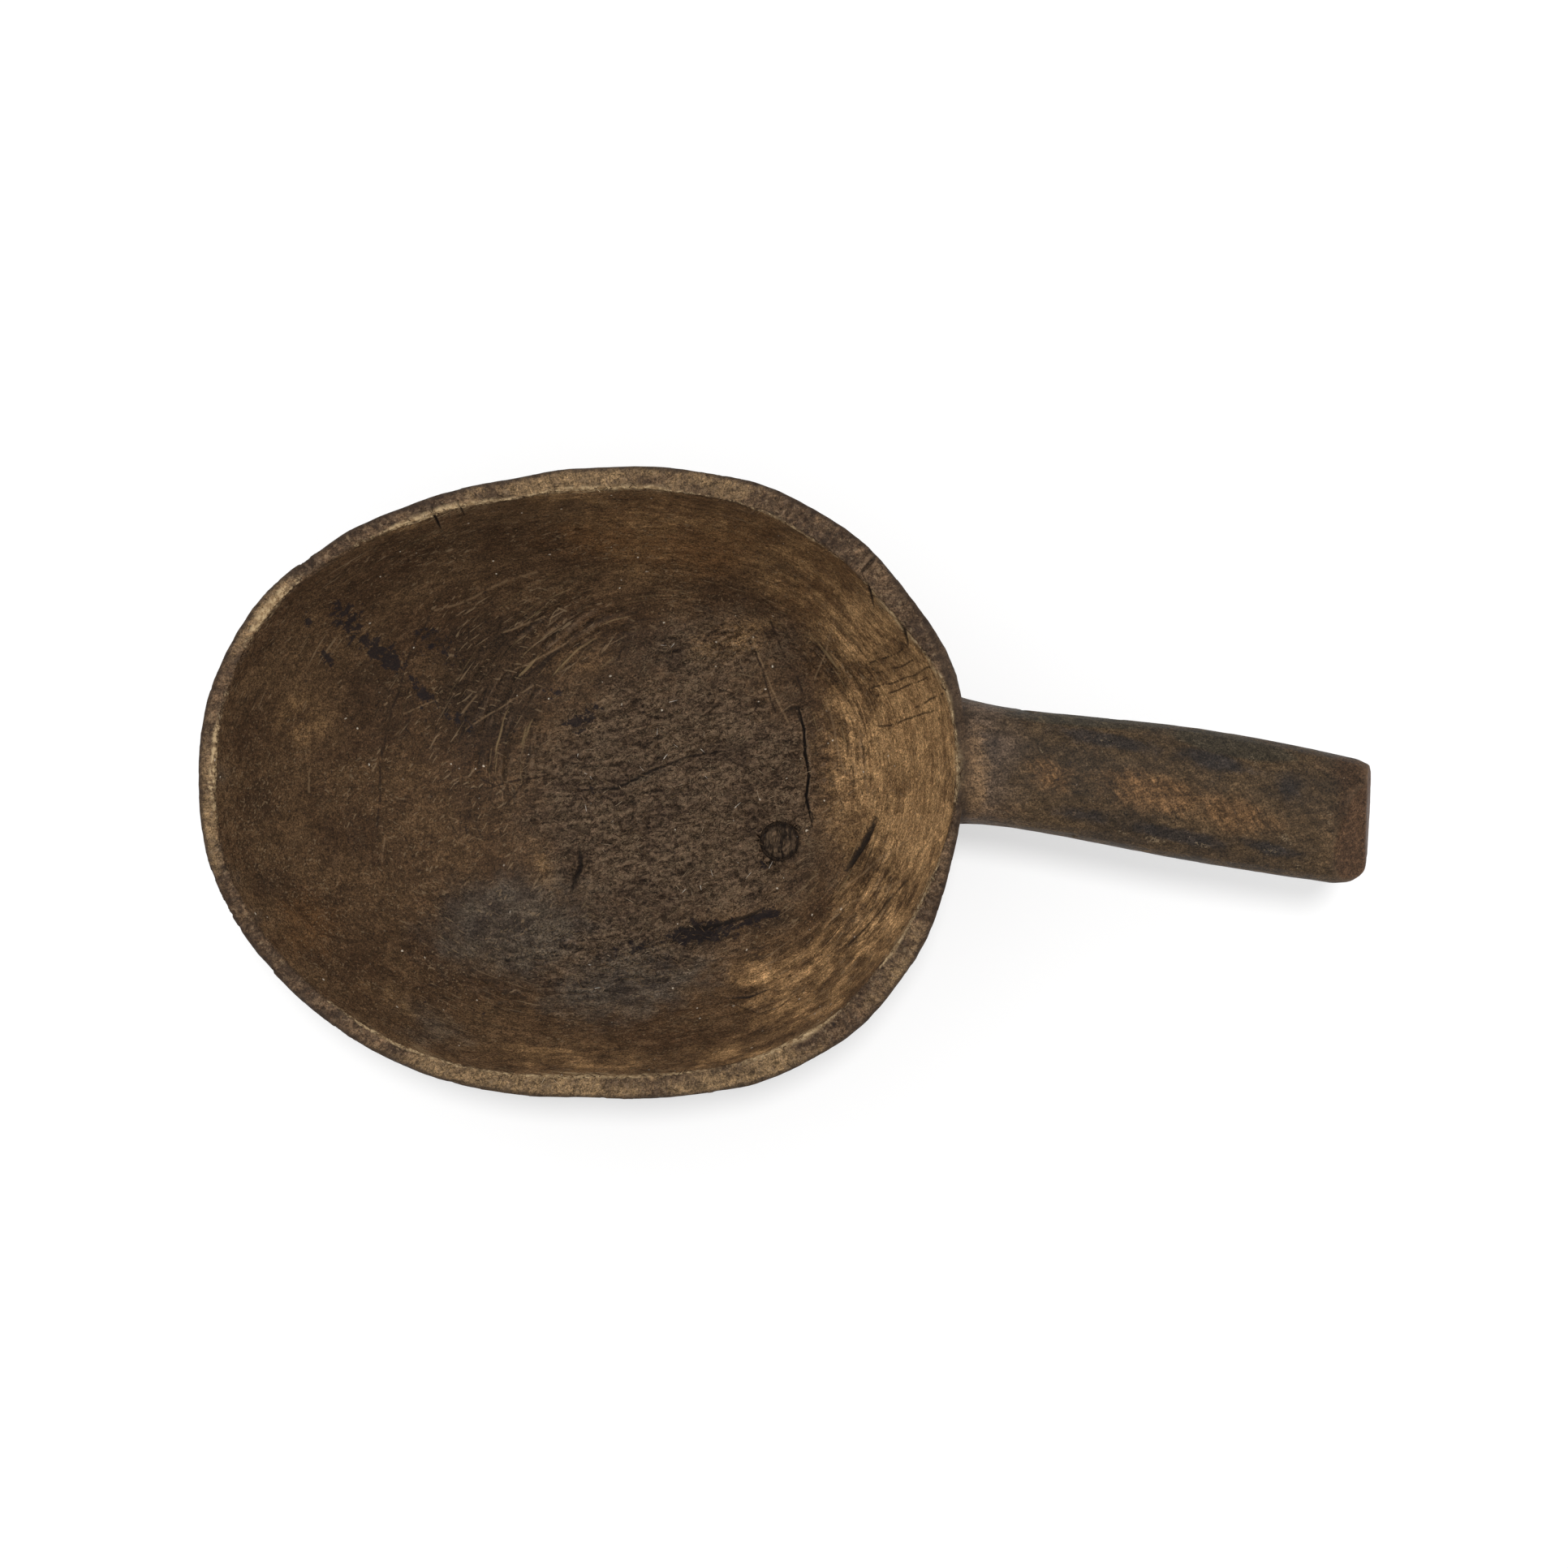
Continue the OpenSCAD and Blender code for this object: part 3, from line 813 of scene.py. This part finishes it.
def wood_look(material):
    """Old, dry, handled wood, with painted shade in its cuts, cracks and hollows and painted light on parts
    of the wall.
    """
    tree = material.node_tree
    place = place_mm(tree)
    names = ("hollow", "rim", "grip", "lip", "relief", "cut", "crumbly")
    hollow, rim, grip, lip, relief, cut, crumbly = (pick(tree, name) for name in names)
    fray = noise(place + (9.0, 50.0, 3.0), 0.09, 6, 0.7) - 0.5
    wander = place + drift(place, 0.03, 4.0)
    wisp = place + drift(place, 0.4, 1.1)
    cloud = noise(along_grain(wander, 1.7), 0.045, 4, 0.6)
    blotch = noise(along_grain(wander + (40.0, 13.0, 7.0), 1.5), 0.12, 5, 0.7)
    fibre = noise(along_grain(wisp, 8.0), 1.1, 4, 0.72)
    fine = noise(along_grain(wisp, 1.8), 1.3, 4, 0.8)
    sweep = noise(round_hollow(wander, 2.6, 0.7), 1.0, 5, 0.75)
    broad = noise(round_hollow(wander, 3.4, 0.16), 1.0, 3, 0.6)

    base = blend(ramp(cloud, 0.35, 0.65), "3b2a1b", "4b3825")
    base = blend(ramp(blotch, 0.52, 0.72) * 0.4, base, "5c4631")
    base = blend(ramp(blotch, 0.46, 0.3) * 0.5, base, "2b2016")
    torn = ramp(pick(tree, "torn") + fray * 1.3, 0.1, 0.9)
    base = blend(torn * 0.7, base, blend(ramp(blotch, 0.34, 0.62), "3c3027", "524335"))
    warm = ramp(pick(tree, "warm") + fray, 0.15, 0.7)
    base = blend(warm * 0.6, base, "5f4226")
    # Ochre: in part wood rubbed bare, in part painted light that lightens the wall at the handle.
    ochre_mask = pick(tree, "ochre")
    frayed_ochre = ochre_mask + ramp(ochre_mask, 0.0, 0.3) * (fray * 0.9 + (fine - 0.5) * 0.6 + (blotch - 0.5) * 0.5)
    gold = blend(ramp(blotch * 0.5 + sweep * 0.5 + fray * 0.2, 0.4, 0.6), "7d5f3e", "aa865b")
    tan = blend(ramp(blotch, 0.4, 0.6), "523d28", "735839")
    base = blend(ramp(frayed_ochre, 0.0, 0.5) * 0.75, base, tan)
    base = blend(ramp(frayed_ochre, 0.3, 0.95) * 0.9, base, gold)
    grime = ramp(pick(tree, "grime") + fray, 0.15, 0.75)
    base = blend(grime * 0.6, base, blend(ramp(blotch, 0.4, 0.62), "302d2a", "4a453d"))
    # Nearly black: the wood's own dark patches, and painted shade on the upper-left wall and in the grooves
    # low in the hollow.
    dark = ramp(pick(tree, "dark") + fray, 0.15, 0.85)
    base = blend(dark * 0.7, base, "241a12")
    # Painted light: the wall just under the lip is painted lighter, to offset the shade of the steep wall
    # there. Low on the wall the colour is lighter and more mottled.
    near_lip = ramp(lip, -18.0, -2.0) * hollow
    low = ramp(axis(place, 1) - axis(place, 0) * 0.35, -40.0, -95.0) * hollow
    low = low * ((blotch - 0.5) * 1.1 + fray * 0.4 + 0.28)
    base = lit(base, near_lip * 0.25 + low + 1.0)

    ragged = (noise(place + (2.0, 30.0, 8.0), 0.24, 5, 0.72) - 0.5) * 5.0
    bowl_top = (hollow + rim).combine("MINIMUM", 1.0) * (1 - grip)
    brim = ramp(lip + ragged + pick(tree, "inset"), -0.7, 0.7) * bowl_top
    pale_rim = ramp(pick(tree, "pale_rim") + fray * 1.3 + (blotch - 0.5), 0.1, 0.8)
    rim_tone = blend(ramp(blotch + fray * 0.3, 0.38, 0.64), "3c2d21", "604b37")
    rim_tone = blend(pale_rim * 0.85, rim_tone, "846b4b")
    base = blend(brim * 0.9, base, rim_tone)

    smear = noise(turned(wisp, -50.0, 6.0), 0.6, 5, 0.7)
    handle_tone = blend(ramp(cloud, 0.4, 0.62), "32271b", "433423")
    worn = ramp(pick(tree, "worn") + fray * 1.3 + (smear - 0.5) * 0.5, 0.0, 0.9)
    worn_wood = blend(ramp(smear * 0.5 + blotch * 0.5, 0.42, 0.58), "483420", "62472c")
    handle_tone = blend(worn * 0.85, handle_tone, worn_wood)
    soot = ramp(pick(tree, "soot") + fray * 1.5 + (smear - 0.5) * 0.7, 0.1, 0.75)
    handle_tone = blend(soot * 0.8, handle_tone, "211e1d")
    handle_tone = blend(ramp(pick(tree, "bevel") + fray * 0.3, 0.3, 0.7) * 0.9, handle_tone, "302a20")
    end = ramp(axis(place, 0) + fray * 6.0, 241.0, 247.0)
    handle_tone = blend(end * 0.85, handle_tone, "38281b")
    # Painted light: the end face is painted lighter, to offset the shade on a face turned away from the lamp.
    handle_tone = blend(pick(tree, "end_face") * 0.9, handle_tone, "4b3524")
    mauve = ramp(axis(place, 0) + fray * 30.0, 136.0, 112.0)
    handle_tone = blend(mauve * 0.7, handle_tone, blend(ramp(blotch, 0.42, 0.6), "40342a", "564639"))
    handle_tone = blend(pale_rim * 0.7, handle_tone, "73593d")
    base = blend(grip, base, handle_tone)
    outside = (1 - hollow) * (1 - rim) * (1 - grip)
    base = blend(outside * 0.6, base, "41342a")

    streak = ramp(fibre, 0.28, 0.72, 0.72, 1.28)
    tufts = ramp(fine, 0.32, 0.68, 0.35, 1.8)
    swept = ramp(pick(tree, "sweeps") + fray * 0.8, 0.1, 0.8) * 0.85 + 0.08
    line = (ramp(sweep, 0.3, 0.7, 0.62, 1.4) * ramp(broad, 0.34, 0.66, 0.8, 1.2) - 1) * swept + 1
    grit = noise(place, 1.5, 3, 0.85)
    mottle = ramp(grit, 0.33, 0.67, 0.3, 1.75) * ramp(noise(wisp, 0.65, 3, 0.75), 0.32, 0.68, 0.78, 1.24)
    flow = ramp(noise(along_grain(wander + (60.0, 5.0, 0.0), 2.2), 0.33, 5, 0.7), 0.3, 0.7, 0.68, 1.36)
    swipe = ramp(smear, 0.3, 0.7, 0.72, 1.3)
    in_hollow = (torn * (tufts - 1) + 1) * (hollow * (1 - torn * 0.8) * (line - 1) + 1)
    grain = streak * in_hollow * (grip * (swipe - 1) + 1)
    # Painted shade: the colour darkens where the skin lies below the skin round it.
    value = grain * mottle * flow * (1 - ramp(relief, 0.0, -0.3) * 0.45)
    base = lit(base, value)
    base = blend(ramp(relief, 0.05, 0.3) * 0.4, base, "7b6550")

    patchy = ramp(noise(place + (3.0, 8.0, 1.0), 0.05, 3), 0.42, 0.58)
    x, y = axis(place, 0), axis(place, 1)
    ring = ramp((x * x + y * y) ** 0.5, 44.0, 60.0) * hollow
    # Painted shade and painted highlight along the gouge's strokes round the floor: dark in their grooves,
    # pale on their ridges.
    strokes = noise(round_hollow(wander, 2.2, 0.5), 1.0, 2, 0.5)
    base = blend(ramp(strokes, 0.4, 0.3) * patchy * ring * swept * 0.85, base, "1d1611")
    base = blend(ramp(strokes, 0.62, 0.72) * ring * swept * 0.6, base, "86704f")
    nicks = noise(along_grain(wisp, 3.2), 0.55, 3, 0.75)
    dug = ramp(pick(tree, "dashes") + fray, 0.1, 0.6) * hollow
    # Painted shade: short dark digs in rows, low on the left.
    digs = ramp(noise(along_grain(wisp + (5.0, 9.0, 0.0), 4.5), 0.32, 3, 0.65), 0.56, 0.66) * dug
    base = blend(digs * 0.6, base, "1d1713")
    rough_wall = hollow * (1 - torn * 0.4) * (dug * 0.5 + 0.45)
    base = blend(ramp(nicks, 0.62, 0.7) * rough_wall, base, "1f1712")
    base = blend(ramp(nicks, 0.37, 0.3) * rough_wall * 0.6, base, "80694f")
    hair = threads(turned(wisp, GRAIN_TURN + 14.0, 2.0), 0.7, 0.035) * ramp(blotch, 0.4, 0.56)
    base = blend(hair * torn * 0.42, base, "8f7a60")
    for turn, code, where in ((34.0, "806b52", 11.0), (-62.0, "1a130e", 23.0), (-20.0, "76624a", 37.0),
                              (70.0, "1a130e", 51.0), (56.0, "7c674e", 67.0)):
        drawn = turned(place + drift(place, 0.01, 8.0) + (where, where, 0.0), turn, 22.0)
        lines = ramp(noise(drawn, 1.0, 1, 0.4), 0.66, 0.72)
        shown = ramp(noise(place + (where, where, 0.0), 0.035, 2), 0.42, 0.56) * hollow * (1 - torn * 0.6)
        base = blend(lines * shown * 0.55, base, code)
    # Painted shade in the pits of the torn floor.
    pits = ramp(noise(along_grain(wisp, 3.0), 0.5, 5, 0.74), 0.56, 0.68)
    base = blend(pits * torn * 0.75, base, "1b1410")
    broken = ramp(noise(place, 0.2, 4, 0.7), 0.36, 0.52)
    pale_marks = scratches(wander, PALE_SCRATCHES_MM, 0.65)
    dark_marks = scratches(wander, DARK_SCRATCHES_MM, 0.75)
    base = blend(pale_marks * broken * hollow * 0.4, base, "8a7053")
    base = blend(dark_marks * broken * hollow * 0.85, base, "1f1610")

    speckle = noise(place, 0.5, 4, 0.72)
    flecks = ramp(pick(tree, "crumbs") + (noise(place, 0.9, 4, 0.8) - 0.5) * 4.0, 0.75, 1.15)
    base = blend(flecks * 0.6, base, "87745a")
    dust = ramp(noise(place, 0.9, 3, 0.7), 0.66, 0.74) * (grip * 0.5 + rim * 0.4)
    base = blend(dust, base, "8a7764")
    ticks = ramp(noise(round_hollow(wander, 60.0, 0.12), 1.0, 4, 0.75), 0.4, 0.62)
    base = blend(brim * ticks * 0.4, base, "342a23")
    base = blend(brim * ramp(speckle, 0.54, 0.64) * 0.6, base, "271e18")
    base = blend(brim * ramp(speckle, 0.44, 0.34) * 0.45, base, "8a745a")
    from_lip = lip + pick(tree, "inset")
    edge = ramp(abs(from_lip + fray * 4.0) / (crumbly + 0.5), 2.4, 0.8)
    edge = edge * ramp(crumbly + (speckle - 0.5) * 1.8, 0.2, 0.6)
    base = blend(edge * 0.85, base, blend(ramp(speckle, 0.4, 0.6), "7d6445", "b59c77"))
    strands = ramp(noise(round_hollow(wisp, 9.0, 0.8), 1.0, 4, 0.75), 0.52, 0.6)
    strands = strands * ramp(abs(from_lip + 2.0), 6.0, 1.5) * ramp(crumbly, 0.3, 0.9)
    base = blend(strands * 0.7, base, "a8906c")
    outer = ramp(pick(tree, "brink") + fray * 2.5, 2.6, 0.6) * (1 - grip) * (1 - hollow)
    base = blend(outer * 0.7, base, "2c221b")
    # Black spots: stains, and painted shade in the grooves low in the hollow.
    spots = ramp(pick(tree, "spots") + (noise(place, 0.32, 4, 0.7) - 0.5) * 2.8, 0.42, 0.66)
    base = blend(spots * 0.85, base, "1a1618")
    chaff = ramp(cells(wisp, 0.15), 0.075, 0.045) * ramp(noise(place, 0.03, 2), 0.46, 0.56) * hollow
    base = blend(chaff * 0.8, base, "c4b7a4")
    # Painted shade: the crack and the splits are painted near-black along their grooves.
    crack = scratches(place + drift(place, 0.2, 2.6), list(zip(CRACK_MM, CRACK_MM[1:])), 0.75)
    base = blend(crack * hollow * 0.9, base, "15100d")
    splits = scratches(place + drift(place, 0.4, 1.2), SPLITS_MM, 1.7)
    base = blend(splits * hollow * 0.85, base, "17120f")
    # Painted shade: the cuts are painted dark, on the rim as well as in the hollow.
    base = blend(ramp(cut, 0.15, 0.8) * (hollow * 0.5 + 0.4), base, "17120f")

    base = lit(base, 1.22, 0.98)
    height = grit * 0.25 + fibre * 0.3 + fine * (torn * 1.2 + 0.15) + sweep * hollow * 0.45
    height = height - pits * torn * 0.5 - rim * ticks * 0.35 + smear * grip * 0.35
    rough = ramp(cloud, 0.3, 0.7, 0.62, 0.8) + torn * 0.1 - grip * 0.12
    return dry_surface(material, base, rough, height)


wood_look(carved_wood)
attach(scoop, "root")
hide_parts("carved_body")

# ----------------------------------------
# The knot's bark.
# A ring of dead bark that stayed round the branch: dark, crumbly, half rotted
# away, and sunk a little below the worn floor.

KNOT_MIDDLE = (KNOT_PLACE.x / MM, KNOT_PLACE.y / MM, 0.0)
FINE_GRID = 0.3 * MM


def knot_piece(node, name, top_marks, material):
    """A piece of the knot, its top marked by a geometry tree and its foot left flat."""
    piece = copy_node(node, name)
    low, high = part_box(node)
    remesh(piece, FINE_GRID, 2)
    tree, geometry, size, place, normal = marks_tree(name + "_marks", {"Mark Depth": 1.0})
    at_top = ramp(axis(place, 2), 8.0, 12.0)
    depth = top_marks(place - KNOT_MIDDLE) * size["Mark Depth"] * at_top
    down = join(tree, 0.0, 0.0, depth * -MM)
    geometry = add_node(tree, "GeometryNodeSetPosition", values={"Geometry": geometry, "Offset": down})
    run_tree(piece, tree, geometry, material, {"Mark Depth": 1.0})
    core_low, core_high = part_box("knot_core")
    core_reach = (core_high.x - core_low.x) / 2
    true_round(piece, (core_low + core_high) / 2, core_reach - 0.4 * MM, core_reach + 0.4 * MM,
               core_reach + (0.02 * MM if node == "knot_bark" else 0))
    true_round(piece, KNOT_PLACE, KNOT_REACH - 0.4 * MM, KNOT_REACH + 0.4 * MM, KNOT_REACH)
    keep_inside(piece, low, high)
    piece.data.shade_smooth()
    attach(piece, "root")
    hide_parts(node)


def bark_marks(away):
    reach = (away * (1.0, 1.0, 0.0)).combine("LENGTH")
    rotten = ramp(noise(away, 0.22, 2), 0.4, 0.62)
    return noise(away, 0.9, 4, 0.7) * 1.6 + rotten * 0.9 + ramp(reach, 7.0, 7.6) * 0.3


def bark_look(material):
    """Black-brown dead bark, greyer where it is worn."""
    tree = material.node_tree
    place = place_mm(tree)
    grit = noise(place, 1.3, 5, 0.72)
    base = blend(ramp(grit, 0.38, 0.66), "100c0a", "3d3025")
    return dry_surface(material, base, 0.88, grit)


bark = bark_look(new_material("knot_bark"))
knot_piece("knot_bark", "knot_bark_ring", bark_marks, bark)

# ----------------------------------------
# The knot.
# The branch's own hard wood, seen end on. It shrank more than the scoop did,
# cracked from its middle, and is as grey as the floor round it.


def core_marks(away):
    ring = noise(away * (1.0, 1.0, 0.0) + drift(away, 0.3, 1.2), 0.5, 4, 0.65)
    streak = noise(away * (1.0, 0.3, 1.0), 0.8, 4, 0.65)
    return ring * 0.8 + streak * 1.0 + threads(away * (1.0, 0.35, 1.0), 0.22, 0.06) * 0.7


def core_look(material):
    """Grey-brown end grain in streaks, with dark checks."""
    tree = material.node_tree
    away = place_mm(tree) - KNOT_MIDDLE
    reach = (away * (1.0, 1.0, 0.0) + drift(away, 0.25, 2.4)).combine("LENGTH")
    streak = noise(away * (1.0, 0.35, 1.0), 1.1, 5, 0.72)
    base = blend(ramp(streak, 0.35, 0.68), "33281f", "75604b")
    rings = ramp((reach * 3.2).combine("SINE"), 0.2, 0.9)
    base = blend(rings * 0.45, base, "1f1814")
    base = blend(ramp(reach, 4.8, 6.4) * 0.6, base, "1b1411")
    checks = threads(away * (1.0, 0.35, 1.0), 0.22, 0.06)
    base = blend(checks * 0.8, base, "15100d")
    return dry_surface(material, base, 0.8, streak - rings * 0.3 - checks, 0.4)


end_grain = core_look(new_material("knot_wood"))
knot_piece("knot_core", "knot_end", core_marks, end_grain)

# ----------------------------------------
# Torn fibres.
# Splinters of the same wood, pulled up by the gouge and never cleaned off,
# lying over on the floor and along the crumbling lip.


def sliver():
    """One splinter a millimetre long, lying along X: three-sided, bent up, pointed at its end."""
    mesh = bpy.data.meshes.new("sliver")
    stations = [(0.0, 1.0, -0.12), (0.35, 0.8, 0.06), (0.7, 0.5, 0.12), (1.0, 0.08, 0.1)]
    points, faces = [], []
    for x, size, z in stations:
        for turn in (90, 210, 330):
            a = math.radians(turn)
            points.append((x * MM, math.cos(a) * size * 0.06 * MM, (z + math.sin(a) * size * 0.06) * MM))
    for k in range(0, len(points) - 3, 3):
        for i in range(3):
            j = (i + 1) % 3
            faces.append((k + i, k + j, k + 3 + j, k + 3 + i))
    last = len(points) - 3
    faces += [(2, 1, 0), (last, last + 1, last + 2)]
    mesh.from_pydata(points, [], faces)
    shape = bmesh.new()
    shape.from_mesh(mesh)
    bmesh.ops.recalc_face_normals(shape, faces=shape.faces)
    shape.to_mesh(mesh)
    shape.free()
    return bpy.data.objects.new("sliver", mesh)


def random_number(tree, low, high, seed):
    return add_node(tree, "FunctionNodeRandomValue", {"data_type": "FLOAT"},
                    {"Min": low, "Max": high, "Seed": seed}, 1)


def scatter_fibres(material):
    """Lays the splinters on a copy of the scoop's skin, and keeps only the splinters."""
    piece = new_object("torn_fibres", scoop.data.copy())
    sizes = {"Fibres Per Square Millimetre": 0.55, "Shortest": 1.4, "Longest": 4.6, "Lift": 12.0}
    tree, geometry, size, place, normal = marks_tree("torn_fibres", sizes)
    patchy = ramp(noise(place, 0.07, 4, 0.65), 0.4, 0.62)
    floor = ramp(named(tree, "torn"), 0.3, 1.1) * (patchy * 0.85 + 0.15)
    lip = ramp(abs(named(tree, "lip")), 2.5, 0.5) * named(tree, "crumbly") * 0.7
    ragged = floor.combine("MAXIMUM", lip) * (1 - ramp(named(tree, "cut"), 0.1, 0.4))
    density = ragged * size["Fibres Per Square Millimetre"] * 1e6
    spread = add_node(tree, "GeometryNodeDistributePointsOnFaces", {"distribute_method": "RANDOM"},
                      {"Mesh": geometry, "Density": density, "Seed": 11})
    rotation = Wire(tree, spread.output.node.outputs["Rotation"])
    middle = random_number(tree, -1.0, 1.0, 3)
    turn = (middle * abs(middle) * 95.0 + GRAIN_TURN) * math.radians(1)
    lift = random_number(tree, -0.3, 1.0, 5)
    pose = join(tree, 0.0, lift * size["Lift"] * -math.radians(1), turn)
    flip = random_number(tree, 0.0, 1.0, 8)
    half = flip.combine("GREATER_THAN", 0.5) * math.pi
    around = join(tree, 0.0, 0.0, half)
    for turned_by in (pose, around):
        rotation = add_node(tree, "FunctionNodeRotateRotation", {"rotation_space": "LOCAL"},
                            {0: rotation, 1: turned_by})
    length = random_number(tree, size["Shortest"], size["Longest"], 6)
    width = random_number(tree, 1.5, 3.6, 7)
    shape = add_node(tree, "GeometryNodeObjectInfo", values={"Object": sliver()}, output="Geometry")
    placed = add_node(tree, "GeometryNodeInstanceOnPoints", values={
        "Points": spread, "Instance": shape, "Rotation": rotation, "Scale": join(tree, length, width, width)})
    pale = random_number(tree, 0.0, 1.0, 9)
    placed = add_node(tree, "GeometryNodeStoreNamedAttribute", {"data_type": "FLOAT", "domain": "INSTANCE"},
                      {"Geometry": placed, "Name": "paleness", "Value": pale})
    run_tree(piece, tree, placed, material, sizes)
    keep_inside(piece, cad_low, cad_high)
    return piece


def fibre_look(material):
    """Mostly the floor's brown; a few are bleached, and one in fifty is as white as chaff."""
    tree = material.node_tree
    paleness = pick(tree, "paleness")
    base = blend(ramp(paleness, 0.2, 0.9), "35271c", "6e5943")
    base = blend(ramp(paleness, 0.93, 0.975), base, "a8947a")
    base = blend(ramp(paleness, 0.992, 0.996), base, "e6ddd0")
    return dry_surface(material, base, 0.8)


fibres = scatter_fibres(fibre_look(new_material("torn_fibre")))
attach(fibres, "root")
